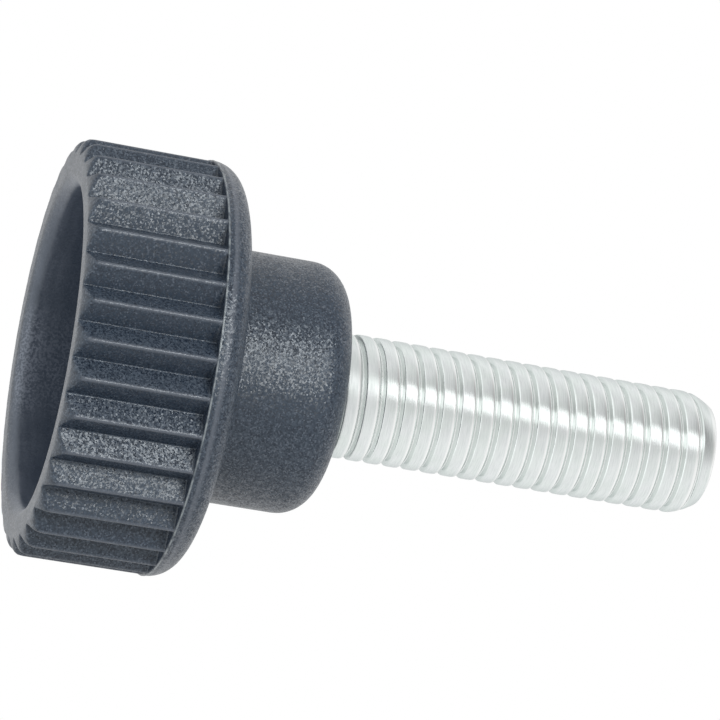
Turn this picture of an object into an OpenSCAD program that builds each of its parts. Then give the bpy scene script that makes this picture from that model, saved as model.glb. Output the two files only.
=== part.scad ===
// Thumb screw: a ribbed cup-shaped plastic head with a moulded-in steel stud.
// It stands on its head: open rim on z = 0, axis on +Z, stud tip at the top. Millimetres.

/* [Head] */
// Outside diameter over the rib crests.
head_d = 26.1; // [21:0.1:32]
// Height from the open rim to the far end of the hub.
head_h = 18.1; // [15:0.1:22]
// Rounding of the rim on the outside.
rim_round = 1.15; // [0.6:0.05:1.5]
// Wall of the open rim, from the rib crests to the recess.
rim_wall = 2.4; // [1.9:0.05:3.2]
// Rounding of the rim on the inside.
lip_round = 0.35; // [0.2:0.05:0.5]

/* [Ribs] */
// Number of vee grooves round the head.
rib_count = 35; // [24:1:42]
// Depth of a groove below the rib crests.
groove_depth = 0.95; // [0.5:0.05:1.2]
// Width of the narrow land left on each crest.
crest_land = 0.14; // [0.1:0.01:0.3]

/* [Flange] */
// How far the flange edge stands proud of the rib crests.
flange_proud = 0.1; // [0:0.05:0.5]
// Thickness of the flange behind the ribs.
flange_t = 1.85; // [1.2:0.05:2.6]
// Cylindrical land on the flange edge before the back rounds off.
flange_land = 0.12; // [0.05:0.01:0.4]

/* [Hub] */
// Diameter of the hub.
hub_d = 16; // [13:0.1:19]
// Length of the hub behind the flange.
hub_l = 7.9; // [6.5:0.1:10]
// Rounding of the hub end.
hub_round = 2.2; // [1:0.1:2.8]
// Fillet between hub and flange back.
hub_fillet = 0.6; // [0.3:0.1:1]

/* [Recess] */
// Thickness of the web between the recess floor and the flange back.
web_t = 2.2; // [1.6:0.1:3]
// Draft of the recess wall, as the loss of radius from rim to floor.
recess_draft = 0.25; // [0.1:0.05:0.5]
// Fillet between recess wall and floor.
recess_fillet = 1.2; // [0.5:0.1:2]

/* [Stud] */
// Major diameter of the thread.
stud_d = 8; // [6.5:0.1:9.6]
// Free length of the stud beyond the hub.
stud_l = 25.2; // [20:0.1:30]
// Radius lost by the lead-in at the tip.
tip_drop = 0.65; // [0.5:0.05:1]
// Length of the lead-in at the tip.
tip_l = 1.6; // [1:0.05:2]
// Plastic left between the recess floor and the stud's buried end.
anchor_cover = 1.6; // [0.8:0.1:2]
// How far the flats of the buried hexagonal collar stand proud of the thread.
collar_proud = 1; // [0.5:0.1:1.4]
// Length of the hexagonal collar.
collar_l = 3.6; // [2.5:0.1:4.5]
// Radius lost by the buried neck between the collar and the hub face.
neck_drop = 0.4; // [0.3:0.05:0.8]
// How far the full diameter of the thread starts below the hub face.
shoulder_sink = 0.1; // [0.06:0.01:0.14]

/* [Hidden] */
$fn = 96;
head_r = head_d / 2;
flange_r = head_r + flange_proud;
hub_r = hub_d / 2;
lip_r = head_r - rim_wall;
stud_r = stud_d / 2;
tip_z = head_h + stud_l;
flange_back_z = head_h - hub_l;            // back face of the flange
band_z = flange_back_z - flange_t;         // grooves stop here, at the flange
back_round = flange_t - flange_land;
root_r = head_r - groove_depth;
half_pitch = PI * head_r / rib_count;
peak_r = head_r + groove_depth * crest_land / (2 * half_pitch - crest_land);
recess_depth = flange_back_z - web_t;
floor_r = lip_r - recess_draft;
anchor_z = recess_depth + anchor_cover;
neck_r = stud_r - neck_drop;
shoulder_z = head_h - shoulder_sink;
collar_af = stud_d + 2 * collar_proud;
over = 1;                                  // how far cutters reach past the solid

// Rounded corner piece: the area between a corner at [x, y] and its rounding.
// sx, sy point from the corner into the solid.
module corner(x, y, r, sx, sy) {
  difference() {
    translate([sx > 0 ? x : x - r, sy > 0 ? y : y - r]) square(r);
    translate([x + sx * r, y + sy * r]) circle(r);
  }
}

// Half section of the head before the recess, grooves and pocket are cut.
module head_section() {
  difference() {
    union() {
      square([head_r, flange_back_z]);
      translate([0, band_z]) square([flange_r, flange_t]);
      square([hub_r, head_h]);
      corner(hub_r, flange_back_z, hub_fillet, 1, 1);
    }
    corner(head_r, 0, rim_round, -1, 1);
    corner(flange_r, flange_back_z, back_round, -1, -1);
    corner(hub_r, head_h, hub_round, -1, -1);
  }
}

// Half section of the recess, with its rounded lip and filleted floor.
module recess_section() {
  difference() {
    union() {
      polygon([[0, 0], [lip_r, 0], [floor_r, recess_depth], [0, recess_depth]]);
      translate([0, -over]) square([lip_r + lip_round, over]);
      corner(lip_r, 0, lip_round, 1, 1);
    }
    corner(floor_r, recess_depth, recess_fillet, -1, -1);
  }
}

// Everything outside the ribs: a ring whose hole is the toothed outline.
module groove_cutter() {
  translate([0, 0, -over]) linear_extrude(height = band_z + over) difference() {
    circle(head_r + over);
    polygon([for (i = [0 : 2 * rib_count - 1])
      (i % 2 == 0 ? peak_r : root_r) * [cos(i * 180 / rib_count), sin(i * 180 / rib_count)]]);
  }
}

// The whole stud: buried collar and neck, free length from the hub face, lead-in.
module stud_body() {
  rotate_extrude() polygon([[0, anchor_z], [neck_r, anchor_z], [neck_r, shoulder_z],
    [stud_r, shoulder_z], [stud_r, tip_z - tip_l], [stud_r - tip_drop, tip_z], [0, tip_z]]);
  translate([0, 0, anchor_z]) cylinder(r = collar_af / sqrt(3), h = collar_l, $fn = 6);
}

// The head is moulded round the stud, so the stud cuts its own pocket.
module knob() {
  color([0.07, 0.08, 0.09]) difference() {
    rotate_extrude() head_section();
    groove_cutter();
    rotate_extrude() recess_section();
    stud_body();
  }
}

module threaded_stud() {
  color([0.80, 0.82, 0.83]) stud_body();
}

knob();
threaded_stud();
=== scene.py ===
"""Looks of a thumb screw: a ribbed, cup-shaped plastic head moulded round a rolled, zinc-plated stud.

The screw stands on its open rim at z = 0 with its axis on +Z. The sizes that build the meshes, and all names
ending in _MM, are in millimetres. Everything else is in metres, degrees or plain shares.
"""
import math

import bmesh
import bpy
import numpy as np
from mathutils import Matrix, Vector


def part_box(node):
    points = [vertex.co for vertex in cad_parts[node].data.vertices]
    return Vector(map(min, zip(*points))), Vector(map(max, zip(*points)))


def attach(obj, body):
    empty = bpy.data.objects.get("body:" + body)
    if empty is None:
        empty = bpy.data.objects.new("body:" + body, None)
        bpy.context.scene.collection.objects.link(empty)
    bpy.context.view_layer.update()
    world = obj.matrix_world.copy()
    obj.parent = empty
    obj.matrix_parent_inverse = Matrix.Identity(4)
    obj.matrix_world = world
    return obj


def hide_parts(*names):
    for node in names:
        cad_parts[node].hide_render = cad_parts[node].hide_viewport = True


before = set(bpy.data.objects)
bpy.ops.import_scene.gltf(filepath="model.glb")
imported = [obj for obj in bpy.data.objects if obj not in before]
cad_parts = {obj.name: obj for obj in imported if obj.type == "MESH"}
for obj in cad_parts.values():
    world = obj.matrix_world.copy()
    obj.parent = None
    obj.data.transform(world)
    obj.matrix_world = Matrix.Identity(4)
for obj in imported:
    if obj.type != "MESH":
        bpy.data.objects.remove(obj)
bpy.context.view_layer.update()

MM = 0.001

# ---------------------------------------------------------------- sizes, in mm
KNOB_LOW, KNOB_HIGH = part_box("knob")
STUD_LOW, STUD_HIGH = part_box("threaded_stud")
HEAD_H = KNOB_HIGH.z / MM                # open rim to hub end
FLANGE_R = KNOB_HIGH.x / MM              # outermost edge of the head
TIP_Z = STUD_HIGH.z / MM - 0.001         # a hair inside the solid
ANCHOR_Z = STUD_LOW.z / MM               # buried end of the stud

RIB_COUNT = 35
CREST_R_MM = 13.05
GROOVE_DEPTH_MM = 0.98
RIM_ROUND_MM = 1.15                      # outer rounding of the rim: its width
RIM_ROUND_H_MM = 0.8                     # and its height
RIM_WALL_MM = 3.0
LIP_ROUND_MM = 0.95                      # inner rounding of the rim: its width
LIP_ROUND_H_MM = 0.8                     # and its height
FLANGE_T_MM = 1.85
FLANGE_LAND_MM = 0.12
HUB_R_MM = 8.0
HUB_L_MM = 7.9
HUB_ROUND_MM = 2.2
HUB_FILLET_MM = 0.6
POCKET_EDGE_MM = 0.05                    # bevel at the mouth of the pocket that the stud sits in
WEB_T_MM = 2.2
DRAFT_MM = 0.25
RECESS_FILLET_MM = 1.2
NOTCH_FILLET_MM = 0.15                   # where a groove is stopped by the flange
EDGE_MM = 0.22                           # softness of the crease where a groove opens at the rim
EDGE_LEAST = 0.2                         # least share of that softness, in a groove as deep as the rounding
EDGE_FADE = 0.5                          # radians of the rim rounding over which the softness fades
CREST_HALF_MM = 0.12                     # half-width of the rounded rib crest
ROOT_HALF_MM = 0.07                      # half-width of the rounded groove bottom
FLANK_INSET_MM = 0.12                    # how far inside a flank its extra columns of the grid lie
FLASH_MM = 0.05                          # height of the parting line on the flange edge
FLASH_PROFILE = ((0.75, 0.02), (1.0, 0.06), (0.75, 0.11), (0.0, 0.18))  # share of that height, mm up
FLASH_WAVES = (5, 11, 23, 47)            # waves round the edge that make it uneven
LEDGE_EDGE_MM = 0.02                     # bevel where the ledge behind the grooves meets the flange edge
CENTRE_R_MM = 0.4                        # where the fan at the middle of the recess floor starts

PITCH_MM = 1.25
THREAD_R_MM = 3.97
THREAD_DEPTH_MM = 0.36
ROOT_R_MM = THREAD_R_MM - THREAD_DEPTH_MM
THREAD_BURIED_MM = 1.3                   # how far the thread runs on inside the hub
TIP_DROP_MM = 0.62                       # how far the lead-in at the tip comes in
TIP_L_MM = 1.6                           # and how long it is
TIP_CURVE = 1.6                          # power that rounds the lead-in
TIP_EDGE_MM = 0.12                       # height of the small edge round the flat tip
ROOT_ABOVE_HUB_MM = 0.653                # height of a thread root over the hub face at azimuth 0
MERGE_MM = 0.002                         # points of the thread closer than this become one

# ---------------------------------------------------------------- camera and studio
CAMERA_LENS_MM = 172.56
CAMERA_DISTANCE_MM = 217.94
CAMERA_AZIMUTH = 1.596
CAMERA_ELEVATION = -13.760
CAMERA_ROLL = 99.715
CAMERA_AIM_MM = (-2.397, -0.067, 20.026)
LAMP_DISTANCE = 0.6
FLOOR_HALF = 1.5
FLOOR_FADE = (0.03, 0.16)                # distances over which the floor turns plain white
TENT_LEVEL = 0.84
# sides of the tent: azimuth, elevation, half-width in degrees and the level added at the middle
TENT_SIDES = ((0, -90, 75, 0.68),
              (180, -35, 50, 0.2),
              (-25, 14, 45, -0.19),
              (75, 0, 45, 0.10),
              (-150, 0, 50, 0.3),
              (-62, 60, 42, -0.5),
              (75, 60, 60, 0.08))

# ---------------------------------------------------------------- surfaces, colours are linear
FACET_MM = 0.09                          # grain of the plastic
FACET_TILT = 0.21                        # largest tilt of a facet, as a slope
STREAK_AZIMUTH = 84                       # middle of a painted streak of reflected light inside the lip, from +X towards +Y
RESIN_DARK, RESIN_LIGHT = (0.002, 0.006, 0.015, 1), (0.027, 0.040, 0.059, 1)
FIBRE = (0.054, 0.068, 0.090, 1)
# painted light: a lighter, bluer tone for the wall of the recess, standing in for light that reaches inside
RECESS_PAINTED_LIGHT = (0.031, 0.044, 0.068, 1)
# painted highlight: a lighter colour along the rounded rib crests
CREST_PAINTED_HIGHLIGHT = (0.085, 0.095, 0.115, 1)
# painted highlight: a light grey along the parting line on the flange edge
PARTING_LINE_HIGHLIGHT = (0.16, 0.18, 0.19, 1)
# painted light: a lighter blue-grey on the recess wall near the lip and in one streak
RECESS_LIGHT_PAINT = (0.14, 0.16, 0.20, 1)
PLASTIC_TINT = (0.93, 0.98, 1, 1)        # tint of what the plastic mirrors
ZINC_GREEN, ZINC_GREY = (0.79, 0.84, 0.82, 1), (0.82, 0.85, 0.85, 1)
ZINC_STREAK = (0.52, 0.57, 0.57, 1)
# painted shade: a darker zinc for the band near the root on the flank that faces the head
ZINC_PAINTED_SHADE = (0.66, 0.72, 0.70, 1)
# painted light: a near-white zinc for the root and the flank that faces the tip
ZINC_PAINTED_LIGHT = (0.98, 0.99, 0.98, 1)
ZINC_TINT = (0.72, 0.74, 0.74, 1)        # tint of what the zinc mirrors at a low angle
STREAK_DEPTH_MM = 0.008


# ---------------------------------------------------------------- mesh helpers
def grid_mesh(name, rows):
    """Mesh from rows of points, each row a closed ring of the same count, with a fan at each end."""
    rows = np.asarray(rows, float)
    count, around = rows.shape[:2]
    points = rows.reshape(-1, 3)
    row = np.arange(count - 1)[:, None] * around
    here = np.arange(around)[None, :]
    after = (here + 1) % around
    quads = np.stack([row + here, row + after, row + around + after, row + around + here], -1)
    faces = [tuple(map(int, q)) for q in quads.reshape(-1, 4)]
    first, last = len(points), len(points) + 1
    points = np.vstack([points, rows[0].mean(0), rows[-1].mean(0)])
    tail = (count - 1) * around
    for i in range(around):
        j = (i + 1) % around
        faces.append((first, j, i))
        faces.append((last, tail + i, tail + j))
    mesh = bpy.data.meshes.new(name)
    mesh.from_pydata((points * MM).tolist(), [], faces)
    return mesh


def add_piece(name, mesh, node):
    """Links the mesh as a piece that stands for a CAD node."""
    piece = bpy.data.objects.new(name, mesh)
    bpy.context.scene.collection.objects.link(piece)
    mesh.polygons.foreach_set("use_smooth", [True] * len(mesh.polygons))
    weighted = piece.modifiers.new("flat_faces_stay_flat", "WEIGHTED_NORMAL")
    weighted.mode = "FACE_AREA"
    weighted.weight = 50
    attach(piece, "root")
    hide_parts(node)
    return piece


def arc(centre_r, centre_z, radius, start, end, steps, height=None):
    """Points of a round or elliptical arc in the half section, without its first; 0 degrees is +r."""
    angles = np.radians(np.linspace(start, end, steps + 1)[1:])
    return [(centre_r + radius * math.cos(a), centre_z + (height or radius) * math.sin(a)) for a in angles]


def line(start, end, steps):
    """Evenly spaced points from start to end, without the first."""
    return [tuple(np.add(start, np.subtract(end, start) * (i + 1) / steps)) for i in range(steps)]


# ---------------------------------------------------------------- ribbed head
def groove_radii():
    """Azimuths of the columns and the groove radius there: rounded crests, flat flanks, round bottoms."""
    half_pitch = math.pi * CREST_R_MM / RIB_COUNT
    crest, root = CREST_HALF_MM, half_pitch - ROOT_HALF_MM
    slope = GROOVE_DEPTH_MM / (half_pitch - crest / 2 - ROOT_HALF_MM / 2)
    # distances from a crest centre, as the grid's columns: rounded crest, flank, round bottom
    steps = [0, crest * 0.35, crest * 0.7, crest, crest + FLANK_INSET_MM, root - FLANK_INSET_MM, root]
    steps += [root + ROOT_HALF_MM * share for share in (0.35, 0.7, 1)]
    azimuths, radii = [], []
    for rib in range(RIB_COUNT):
        for side, part in ((1, steps[:-1]), (-1, steps[:0:-1])):
            for d in part:
                if d < crest:
                    depth = slope * d ** 2 / (2 * crest)
                else:
                    depth = slope * (d - crest / 2)
                if d > root:
                    depth -= slope * (d - root) ** 2 / (2 * ROOT_HALF_MM)
                turn = rib + side * d / (2 * half_pitch) + (0 if side == 1 else 1)
                azimuths.append(2 * math.pi * turn / RIB_COUNT)
                radii.append(CREST_R_MM - depth)
    return np.array(azimuths), np.array(radii)


def rim_rows(groove_r):
    """Rings of the rim rounding up to the soft crease of the grooves, and where their walls start."""
    rows = []
    centre_r = CREST_R_MM - RIM_ROUND_MM
    crease = -np.arccos(np.clip((groove_r - centre_r) / RIM_ROUND_MM, 0, 1))
    edge = EDGE_MM * np.clip((crease + math.pi / 2) / EDGE_FADE, EDGE_LEAST, 1)
    before = np.maximum(crease - edge / RIM_ROUND_H_MM, -math.pi / 2)
    arc_steps = 10
    for i in range(arc_steps):
        angle = -math.pi / 2 + (before + math.pi / 2) * (i + 1) / arc_steps
        rows.append((centre_r + RIM_ROUND_MM * np.cos(angle), RIM_ROUND_H_MM * (1 + np.sin(angle))))
    start_r, start_z = rows[-1]
    crease_z = RIM_ROUND_H_MM * (1 + np.sin(crease))
    blend_steps = 4
    for i in range(blend_steps):
        t = (i + 1) / blend_steps
        rows.append((start_r * (1 - t) ** 2 + groove_r * (1 - (1 - t) ** 2),
                     start_z * (1 - t) ** 2 + crease_z * 2 * t * (1 - t) + (crease_z + edge) * t ** 2))
    return rows, crease_z + edge


def groove_rows(groove_r, start_z, band_z, edge_r):
    """Groove walls, their fillet against the flange, and the ledge out to the flange edge."""
    rows = []
    fillet = np.minimum(NOTCH_FILLET_MM, 0.8 * (edge_r - groove_r))
    wall_end = band_z - fillet
    wall_steps = 5
    for i in range(wall_steps):
        rows.append((groove_r, start_z + (wall_end - start_z) * (i + 1) / wall_steps))
    fillet_steps = 5
    for i in range(fillet_steps):
        a = math.pi / 2 * (i + 1) / fillet_steps
        rows.append((groove_r + fillet * (1 - math.cos(a)), band_z - fillet * (1 - math.sin(a))))
    ledge_r = groove_r + fillet
    outer_r = edge_r - LEDGE_EDGE_MM
    rows.append(((ledge_r + outer_r) / 2, np.full_like(groove_r, band_z)))
    rows.append((np.full_like(groove_r, outer_r), np.full_like(groove_r, band_z)))
    return rows


def parting_line_rows(azimuths, band_z, edge_r):
    """Thin uneven bead round the front of the flange edge."""
    uneven = 0.5 + 0.5 * sum(np.sin(k * azimuths + k * k) for k in FLASH_WAVES) / len(FLASH_WAVES)
    bead = FLASH_MM * (0.35 + 0.65 * uneven)
    return [(edge_r + bead * share, np.full_like(azimuths, band_z + rise)) for share, rise in FLASH_PROFILE]


def head_rows():
    """Rings of the head from the recess floor over rim, grooves, flange and hub into the stud pocket."""
    azimuths, groove_r = groove_radii()
    flange_back = HEAD_H - HUB_L_MM
    band_z = flange_back - FLANGE_T_MM
    recess_d = flange_back - WEB_T_MM
    lip_r = CREST_R_MM - RIM_WALL_MM
    floor_r = lip_r - DRAFT_MM
    edge_r = FLANGE_R - FLASH_MM
    rows = []

    def ring(points):
        rows.extend((np.full_like(groove_r, r), np.full_like(groove_r, z)) for r, z in points)

    # recess and lip
    ring(line((CENTRE_R_MM, recess_d), (floor_r - RECESS_FILLET_MM, recess_d), 3))
    ring(arc(floor_r - RECESS_FILLET_MM, recess_d - RECESS_FILLET_MM, RECESS_FILLET_MM, 90, 0, 8))
    ring(line((floor_r, recess_d - RECESS_FILLET_MM), (lip_r, LIP_ROUND_H_MM), 3))
    ring(arc(lip_r + LIP_ROUND_MM, LIP_ROUND_H_MM, LIP_ROUND_MM, 180, 270, 12, LIP_ROUND_H_MM))
    ring(line((lip_r + LIP_ROUND_MM, 0), (CREST_R_MM - RIM_ROUND_MM, 0), 3))

    # ribbed outside
    rounding, wall_start = rim_rows(groove_r)
    rows.extend(rounding)
    rows.extend(groove_rows(groove_r, wall_start, band_z, edge_r))
    rows.extend(parting_line_rows(azimuths, band_z, edge_r))

    # flange back, hub and the pocket round the stud
    back_round = FLANGE_T_MM - FLANGE_LAND_MM
    ring(arc(edge_r - back_round, flange_back - back_round, back_round, 0, 90, 14))
    foot_r = HUB_R_MM + HUB_FILLET_MM
    ring(line((edge_r - back_round, flange_back), (foot_r, flange_back), 2))
    ring(arc(foot_r, flange_back + HUB_FILLET_MM, HUB_FILLET_MM, 270, 180, 6))
    shoulder_z = HEAD_H - HUB_ROUND_MM
    ring(line((HUB_R_MM, flange_back + HUB_FILLET_MM), (HUB_R_MM, shoulder_z), 3))
    ring(arc(HUB_R_MM - HUB_ROUND_MM, shoulder_z, HUB_ROUND_MM, 0, 90, 14))
    ring(line((HUB_R_MM - HUB_ROUND_MM, HEAD_H), (THREAD_R_MM, HEAD_H), 3))
    pocket_start = HEAD_H - 3 * POCKET_EDGE_MM
    ring([(ROOT_R_MM + POCKET_EDGE_MM, HEAD_H - POCKET_EDGE_MM), (ROOT_R_MM, pocket_start)])
    ring(line((ROOT_R_MM, pocket_start), (ROOT_R_MM, ANCHOR_Z), 3))
    ring([(ROOT_R_MM / 2, ANCHOR_Z)])
    return [np.stack([r * np.cos(azimuths), r * np.sin(azimuths), z], -1) for r, z in rows]


def add_head():
    mesh = grid_mesh("ribbed_knob", head_rows())
    return add_piece("ribbed_knob", mesh, "knob")


# ---------------------------------------------------------------- rolled stud
def thread_section():
    """One pitch of the thread from root centre to root centre: heights along the axis and radii, in mm."""
    # distance from the root centre in mm and share of the thread depth, on the head side and the tip side
    head_side = [(0, 1.0), (0.03, 0.97), (0.065, 0.84), (0.15, 0.26), (0.19, 0.11), (0.24, 0.04),
                 (0.34, 0.01)]
    crest = [(0.58, 0.0)]
    tip_side = [(0.42, 0.01), (0.31, 0.05), (0.23, 0.14), (0.17, 0.30), (0.075, 0.84), (0.035, 0.97)]
    tip_side = [(PITCH_MM - distance, depth) for distance, depth in tip_side]
    return [(height, THREAD_R_MM - depth * THREAD_DEPTH_MM) for height, depth in head_side + crest + tip_side]


def close_ring(bm, open_verts, steps):
    """Carries an open ring on through (share of radius, rise in mm) steps and closes it with a face."""
    ring = sorted(open_verts, key=lambda v: math.atan2(v.co.y, v.co.x))
    for share, rise in steps:
        onward = [bm.verts.new((v.co.x * share, v.co.y * share, v.co.z + rise * MM)) for v in ring]
        for i in range(len(ring)):
            bm.faces.new((ring[i - 1], ring[i], onward[i], onward[i - 1]))
        ring = onward
    bm.faces.new(ring)


def thread_rings(bm, low, high, around, turns, below):
    """Vertices of the helix, one copy of the section per step round it, clipped to low..high."""
    section = thread_section()
    rings = []
    for i in range((turns + 1) * around + 1):
        azimuth = 2 * math.pi * i / around
        ring = []
        for height, radius in section:
            z = HEAD_H + ROOT_ABOVE_HUB_MM + (i / around - below) * PITCH_MM + height
            into_tip = min(max((z - high) / TIP_L_MM + 1, 0), 1)
            lead_in = THREAD_R_MM - TIP_DROP_MM * into_tip ** TIP_CURVE
            run_out = ROOT_R_MM + max(z - low, 0)
            radius = min(radius, lead_in, run_out)
            z = min(max(z, low), high)
            point = Vector((radius * math.cos(azimuth), radius * math.sin(azimuth), z))
            ring.append(bm.verts.new(point * MM))
        rings.append(ring)
    return rings


def add_stud():
    """Right-hand helical thread, cut off by the lead-in at the tip and buried in the hub."""
    around = 96
    low, high = HEAD_H - THREAD_BURIED_MM, TIP_Z - TIP_EDGE_MM
    below = 3                            # turns that start under the hub face
    turns = math.ceil((high - low) / PITCH_MM) + below
    bm = bmesh.new()
    rings = thread_rings(bm, low, high, around, turns, below)
    steps = len(rings[0])
    for i in range(turns * around):
        for k in range(steps):
            turn = 0 if k + 1 < steps else around
            up = (k + 1) % steps
            bm.faces.new((rings[i][k], rings[i + 1][k], rings[i + turn + 1][up], rings[i + turn][up]))

    # what the clipping flattened is merged away, which leaves one open ring at each end
    bmesh.ops.remove_doubles(bm, verts=bm.verts, dist=MERGE_MM * MM)
    bmesh.ops.dissolve_degenerate(bm, edges=bm.edges, dist=MERGE_MM / 2 * MM)
    bmesh.ops.delete(bm, geom=[v for v in bm.verts if not v.link_faces], context="VERTS")
    middle = (low + high) / 2 * MM
    open_verts = [v for v in bm.verts if v.is_boundary]
    foot = [v for v in open_verts if v.co.z < middle]
    tip = [v for v in open_verts if v.co.z > middle]
    close_ring(bm, foot, ((1, ANCHOR_Z - low), (0.5, 0)))
    close_ring(bm, tip, ((0.985, TIP_EDGE_MM * 0.6), (0.98, TIP_EDGE_MM * 0.4),
                         (0.95, 0), (0.5, 0), (0.5, 0)))
    bmesh.ops.recalc_face_normals(bm, faces=bm.faces)
    mesh = bpy.data.meshes.new("rolled_stud")
    bm.to_mesh(mesh)
    bm.free()
    return add_piece("rolled_stud", mesh, "threaded_stud")


# ---------------------------------------------------------------- materials
class Nodes:
    """Small helper that adds nodes to a material or world and links them."""

    def __init__(self, owner):
        owner.use_nodes = True
        self.tree = owner.node_tree
        self.tree.nodes.clear()
        self.output = "OutputWorld" if isinstance(owner, bpy.types.World) else "OutputMaterial"

    def add(self, kind, settings=(), **inputs):
        node = self.tree.nodes.new("ShaderNode" + kind)
        for key, value in dict(settings).items():
            setattr(node, key, value)
        for key, value in inputs.items():
            self.put(node, key.replace("_", " "), value)
        return node

    def put(self, node, key, value):
        """Links or sets an input, given by its name or as # and its number."""
        socket = node.inputs[int(key[1:])] if key[0] == "#" else node.inputs[key]
        if isinstance(value, bpy.types.NodeSocket):
            self.tree.links.new(value, socket)
        else:
            socket.default_value = value

    def math(self, operation, a, b=0.0):
        node = self.add("Math", {"operation": operation})
        self.put(node, "#0", a)
        self.put(node, "#1", b)
        return node.outputs[0]

    def product(self, first, *others):
        for other in others:
            first = self.math("MULTIPLY", first, other)
        return first

    def vector(self, operation, a, b, output="Vector"):
        node = self.add("VectorMath", {"operation": operation})
        self.put(node, "#0", a)
        self.put(node, "#1", b)
        return node.outputs[output]

    def noise(self, vector, feature_mm, detail=2.0, roughness=0.5):
        node = self.add("TexNoise", {"noise_dimensions": "3D"}, Vector=vector, Scale=1 / (feature_mm * MM),
                        Detail=detail, Roughness=roughness)
        return node.outputs["Fac"]

    def spread(self, value, low, high, to_low, to_high):
        """Maps low..high to to_low..to_high and stays at the ends beyond them."""
        node = self.add("MapRange", {"clamp": True})
        for key, number in (("Value", value), ("From Min", low), ("From Max", high),
                            ("To Min", to_low), ("To Max", to_high)):
            self.put(node, key, number)
        return node.outputs["Result"]

    def mix(self, factor, a, b):
        node = self.add("Mix", {"data_type": "RGBA"})
        self.put(node, "#0", factor)
        self.put(node, "#6", a)
        self.put(node, "#7", b)
        return node.outputs[2]

    def split(self, vector):
        return self.add("SeparateXYZ", {}, Vector=vector).outputs

    def finish(self, shader):
        """Makes the shader the surface of the material or world."""
        self.put(self.add(self.output), "Surface", shader.outputs[0])


def grained_normal(n, surface, cells, amount):
    """Normal of the grain: each cell is a facet tilted its own way, by a share of the largest tilt."""
    tilt = n.add("VectorMath", {"operation": "MULTIPLY_ADD"}, Vector=cells)
    n.put(tilt, "#1", (2 * FACET_TILT,) * 3)
    n.put(tilt, "#2", (-FACET_TILT,) * 3)
    tilt = n.add("VectorMath", {"operation": "SCALE"}, Vector=tilt.outputs[0], Scale=amount).outputs[0]
    return n.vector("NORMALIZE", n.vector("ADD", surface, tilt), (0, 0, 0))


def parting_line_highlight_mask(n, place, z, radius):
    """Painted highlight along the parting line at the front edge of the flange, broken into patches by noise.
    """
    bead_z = FLASH_PROFILE[1][1]
    line_z = (HEAD_H - HUB_L_MM - FLANGE_T_MM + bead_z) * MM
    off = n.math("ABSOLUTE", n.math("SUBTRACT", z, line_z))
    return n.product(n.spread(off, 0.03 * MM, 0.07 * MM, 1, 0),
                     n.spread(n.noise(place, 0.6), 0.35, 0.6, 0.2, 1),
                     n.spread(radius, (FLANGE_R - 0.08) * MM, (FLANGE_R - 0.05) * MM, 0, 1))


def painted_recess_light(n, place, x, y, z, inside):
    """Painted light on the wall of the recess: lighter towards the lip, where light comes in, in patches,
    with one painted streak of reflected light.
    """
    turn = n.math("ARCTAN2", y, x)
    wall = n.add("CombineXYZ", {}, X=n.math("MULTIPLY", turn, 2 * MM), Y=z, Z=0.0).outputs[0]
    patchy = n.spread(n.noise(wall, 0.5, detail=3.0), 0.35, 0.7, 0.6, 1.3)
    lip_light = n.product(inside, patchy, n.spread(z, 2.4 * MM, 0.8 * MM, 0.12, 0.4))
    near_streak = n.math("COSINE", n.math("SUBTRACT", turn, math.radians(STREAK_AZIMUTH)))
    light_streak = n.product(n.spread(near_streak, 0.92, 1.0, 0, 1),
                      n.spread(z, 1.6 * MM, 0.8 * MM, 0.35, 1),
                      n.spread(n.noise(place, 0.16, detail=1.0), 0.45, 0.6, 0, 1.0), inside)
    return n.math("ADD", lip_light, light_streak)


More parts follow.
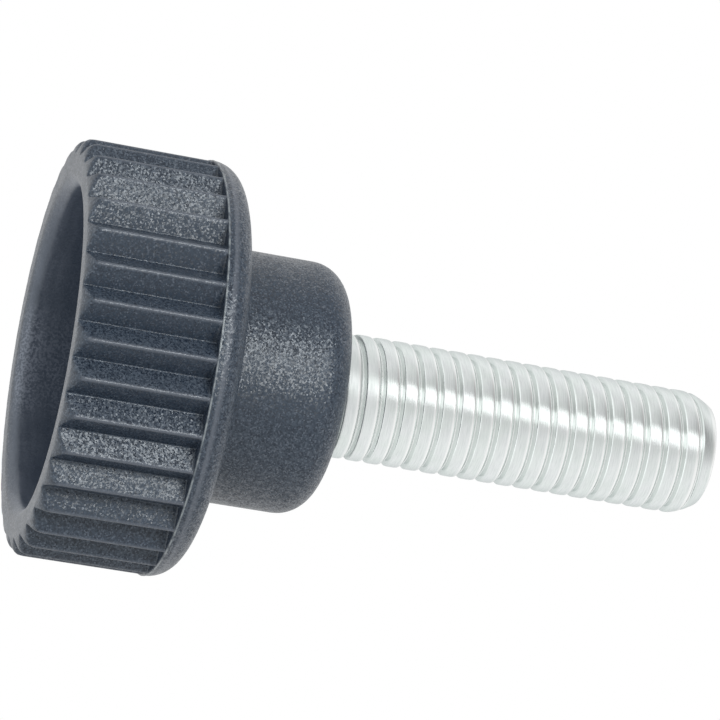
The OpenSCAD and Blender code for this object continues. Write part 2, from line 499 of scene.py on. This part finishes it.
def plastic_material():
    """Glass-filled black plastic: a spark-eroded grain of tiny facets, grey fibres between dark resin."""
    material = bpy.data.materials.new("glass_filled_plastic")
    n = Nodes(material)
    place = n.add("TexCoord").outputs["Object"]
    surface = n.add("NewGeometry").outputs["Normal"]
    x, y, z = n.split(place)
    radius = n.math("SQRT", n.math("ADD", n.math("MULTIPLY", x, x), n.math("MULTIPLY", y, y)))

    # the recess, the faces that look down and the rib crests are smoother than the rest
    lip_r = CREST_R_MM - RIM_WALL_MM
    web_z = HEAD_H - HUB_L_MM - WEB_T_MM / 2
    inside = n.math("MULTIPLY", n.spread(radius, (lip_r + 0.7) * MM, (lip_r + 0.1) * MM, 0, 1),
                    n.spread(z, (web_z + 0.1) * MM, (web_z - 0.1) * MM, 0, 1))
    down = n.spread(n.split(surface)[2], -0.2, -0.5, 0, 1)
    crest = n.math("MULTIPLY", n.spread(radius, (CREST_R_MM - 0.10) * MM, (CREST_R_MM - 0.01) * MM, 0, 1),
                   n.spread(radius, (CREST_R_MM + 0.03) * MM, (CREST_R_MM + 0.01) * MM, 0, 1))
    smooth = n.math("MAXIMUM", n.math("MAXIMUM", inside, down), n.math("MULTIPLY", crest, 0.4))
    cells = n.add("TexVoronoi", {"feature": "F1"}, Vector=place, Scale=1 / (FACET_MM * MM)).outputs["Color"]
    normal = grained_normal(n, surface, cells, n.spread(smooth, 0, 1, 1, 0.25))

    resin, fibre, _ = n.split(cells)
    colour = n.mix(resin, RESIN_DARK, RESIN_LIGHT)
    colour = n.mix(n.spread(fibre, 0.75, 0.95, 0, 1), colour, FIBRE)
    # painted light: the recess gets a lighter tone
    colour = n.mix(n.math("MULTIPLY", inside, 0.75), colour, RECESS_PAINTED_LIGHT)
    # painted highlight along the rib crests
    colour = n.mix(n.math("MULTIPLY", crest, 0.6), colour, CREST_PAINTED_HIGHLIGHT)
    # painted highlight along the parting line
    colour = n.mix(parting_line_highlight_mask(n, place, z, radius), colour, PARTING_LINE_HIGHLIGHT)
    # painted light near the lip of the recess and in one streak on its wall
    colour = n.mix(painted_recess_light(n, place, x, y, z, inside), colour, RECESS_LIGHT_PAINT)
    rough = n.spread(n.noise(place, 2.5, detail=3.0), 0.3, 0.7, 0.33, 0.38)
    n.finish(n.add("BsdfPrincipled", {}, Base_Color=colour, Roughness=rough, Normal=normal, IOR=1.52,
                   Specular_Tint=PLASTIC_TINT))
    return material


def zinc_material():
    """Bright zinc plate on a rolled thread: streaks along the thread and faint tints."""
    material = bpy.data.materials.new("zinc_plate")
    n = Nodes(material)
    place = n.add("TexCoord").outputs["Object"]
    x, y, z = n.split(place)
    turn = n.math("DIVIDE", n.math("ARCTAN2", y, x), 2 * math.pi)
    root_z = (HEAD_H + ROOT_ABOVE_HUB_MM) * MM
    pitches = n.math("SUBTRACT", n.math("DIVIDE", n.math("SUBTRACT", z, root_z), PITCH_MM * MM), turn)
    phase = n.math("FRACT", pitches)     # 0 at a root, 0.5 at a crest
    along = n.math("MULTIPLY", n.math("ADD", turn, n.math("FLOOR", pitches)), 2 * math.pi * THREAD_R_MM * MM)
    across = n.math("MULTIPLY", phase, PITCH_MM * MM)
    flow = n.add("CombineXYZ", {}, X=n.math("MULTIPLY", along, 0.06), Y=across, Z=0.0).outputs[0]
    streaks = n.noise(flow, 0.07, detail=3.0, roughness=0.65)
    colour = n.mix(n.spread(n.noise(place, 1.1), 0.35, 0.65, 0, 1), ZINC_GREEN, ZINC_GREY)
    colour = n.mix(n.spread(streaks, 0.3, 0.55, 0.35, 0), colour, ZINC_STREAK)

    # painted shade: a darker band near the root on the flank that faces the head; painted light: a near-white
    # colour on the root and the flank that faces the tip
    shaded_band = n.math("MULTIPLY", n.spread(phase, 0.0, 0.04, 0, 1), n.spread(phase, 0.10, 0.20, 1, 0))
    colour = n.mix(n.math("MULTIPLY", shaded_band, 0.6), colour, ZINC_PAINTED_SHADE)
    # painted light on the root and the flank that faces the tip
    lit_band = n.math("MAXIMUM", n.spread(phase, 0.66, 0.76, 0, 1), n.spread(phase, 0.0, 0.04, 1, 0))
    colour = n.mix(n.math("MULTIPLY", lit_band, 0.9), colour, ZINC_PAINTED_LIGHT)

    # streaky shine, rougher on the turns next to the hub
    rough = n.math("ADD", n.spread(streaks, 0.3, 0.7, 0.24, 0.13),
                   n.spread(z, (HEAD_H + 1.5) * MM, (HEAD_H + 3.5) * MM, 0.22, 0))
    bump = n.add("Bump", {}, Strength=1.0, Distance=STREAK_DEPTH_MM * MM, Height=streaks).outputs["Normal"]
    n.finish(n.add("BsdfPrincipled", {}, Base_Color=colour, Roughness=rough, Normal=bump, Metallic=1.0,
                   Specular_Tint=ZINC_TINT))
    return material


# ---------------------------------------------------------------- studio
def direction(azimuth, elevation):
    """Unit vector: azimuth 0 is the front (-Y), 90 the +X side; elevation is above the floor."""
    a, e = math.radians(azimuth), math.radians(elevation)
    return Vector((math.sin(a) * math.cos(e), -math.cos(a) * math.cos(e), math.sin(e)))


def add_camera():
    """Camera under the open rim's plane, rolled so that the screw's axis lies across the picture."""
    data = bpy.data.cameras.new("camera")
    data.sensor_width = 36
    data.lens = CAMERA_LENS_MM
    data.clip_start, data.clip_end = 0.01, 10
    camera = bpy.data.objects.new("camera", data)
    bpy.context.scene.collection.objects.link(camera)
    towards = direction(CAMERA_AZIMUTH, CAMERA_ELEVATION)
    aim = Vector(CAMERA_AIM_MM) * MM
    upright = (-towards).to_track_quat("-Z", "Y").to_matrix()
    turned = upright @ Matrix.Rotation(math.radians(CAMERA_ROLL), 3, "Z")
    camera.matrix_world = Matrix.Translation(aim + towards * CAMERA_DISTANCE_MM * MM) @ turned.to_4x4()
    bpy.context.scene.camera = camera


def add_lamp(name, azimuth, elevation, width, height, power, lit_pieces):
    """Soft box that looks at the middle of the screw and lights the given pieces only."""
    data = bpy.data.lights.new(name, "AREA")
    data.shape = "RECTANGLE"
    data.size = width
    data.size_y = height
    data.energy = power
    lamp = bpy.data.objects.new(name, data)
    lamp.visible_camera = False
    bpy.context.scene.collection.objects.link(lamp)
    aim = Vector((0, 0, 0.02))
    towards = direction(azimuth, elevation)
    facing = towards.to_track_quat("Z", "Y").to_matrix().to_4x4()
    lamp.matrix_world = Matrix.Translation(aim + towards * LAMP_DISTANCE) @ facing
    receivers = bpy.data.collections.new("lit_by_" + name)
    for piece in lit_pieces:
        receivers.objects.link(piece)
    lamp.light_linking.receiver_collection = receivers


def add_world():
    """White light tent with brighter and dimmer sides, and plain white behind the screw.

    The camera sees white all round. Mirrored and refracted rays see it on the side away from the camera.
    """
    world = bpy.data.worlds.new("studio")
    bpy.context.scene.world = world
    n = Nodes(world)
    sky = n.add("TexCoord").outputs["Generated"]
    level = TENT_LEVEL
    for azimuth, elevation, reach, extra in TENT_SIDES:
        facing = n.vector("DOT_PRODUCT", sky, direction(azimuth, elevation), "Value")
        level = n.math("ADD", n.spread(facing, math.cos(math.radians(reach)), 1, 0, extra), level)
    path = n.add("LightPath").outputs
    away = n.vector("DOT_PRODUCT", sky, -direction(CAMERA_AZIMUTH, CAMERA_ELEVATION), "Value")
    mirrored = n.math("MAXIMUM", path["Is Glossy Ray"], path["Is Transmission Ray"])
    mirrored = n.math("MULTIPLY", mirrored, n.spread(away, 0.0, 0.5, 0, 1))
    white = n.math("MAXIMUM", path["Is Camera Ray"], mirrored)
    strength = n.math("ADD", n.math("MULTIPLY", level, n.math("SUBTRACT", 1.0, white)), white)
    n.finish(n.add("Background", {}, Color=(1, 1, 1, 1), Strength=strength))


def floor_material():
    """Pale near the screw and plain white further off; see-through from below."""
    material = bpy.data.materials.new("pale_floor")
    n = Nodes(material)
    place = n.add("TexCoord").outputs["Object"]
    reach = n.add("VectorMath", {"operation": "LENGTH"}, Vector=place).outputs["Value"]
    top = n.add("MixShader", {}, Fac=n.spread(reach, *FLOOR_FADE, 0, 1))
    n.put(top, "#1", n.add("BsdfDiffuse", {}, Color=(0.86, 0.86, 0.86, 1)).outputs[0])
    n.put(top, "#2", n.add("Emission", {}, Color=(1, 1, 1, 1), Strength=1.0).outputs[0])
    both = n.add("MixShader", {}, Fac=n.add("NewGeometry").outputs["Backfacing"])
    n.put(both, "#1", top.outputs[0])
    n.put(both, "#2", n.add("BsdfTransparent").outputs[0])
    n.finish(both)
    return material


def add_floor():
    """Floor that keeps the screw's shadow and lets the tent's light from below through."""
    corners = [(-FLOOR_HALF, -FLOOR_HALF, 0), (FLOOR_HALF, -FLOOR_HALF, 0),
               (FLOOR_HALF, FLOOR_HALF, 0), (-FLOOR_HALF, FLOOR_HALF, 0)]
    mesh = bpy.data.meshes.new("floor")
    mesh.from_pydata(corners, [], [(0, 1, 2, 3)])
    floor = bpy.data.objects.new("floor", mesh)
    bpy.context.scene.collection.objects.link(floor)
    floor.visible_shadow = False
    floor.visible_diffuse = False
    floor.visible_glossy = False
    mesh.materials.append(floor_material())


head = add_head()
head.data.materials.append(plastic_material())
stud = add_stud()
stud.data.materials.append(zinc_material())
add_camera()
add_world()
add_floor()
# one lamp bright enough for the sparkle of the grain would leave the stud's highlight without any shading
add_lamp("key", azimuth=-22, elevation=17, width=0.19, height=0.34, power=3.1, lit_pieces=(head,))
add_lamp("strip_on_metal", azimuth=-25, elevation=14, width=0.29, height=0.95, power=0.68, lit_pieces=(stud,))

view = bpy.context.scene.view_settings
view.view_transform = "Standard"
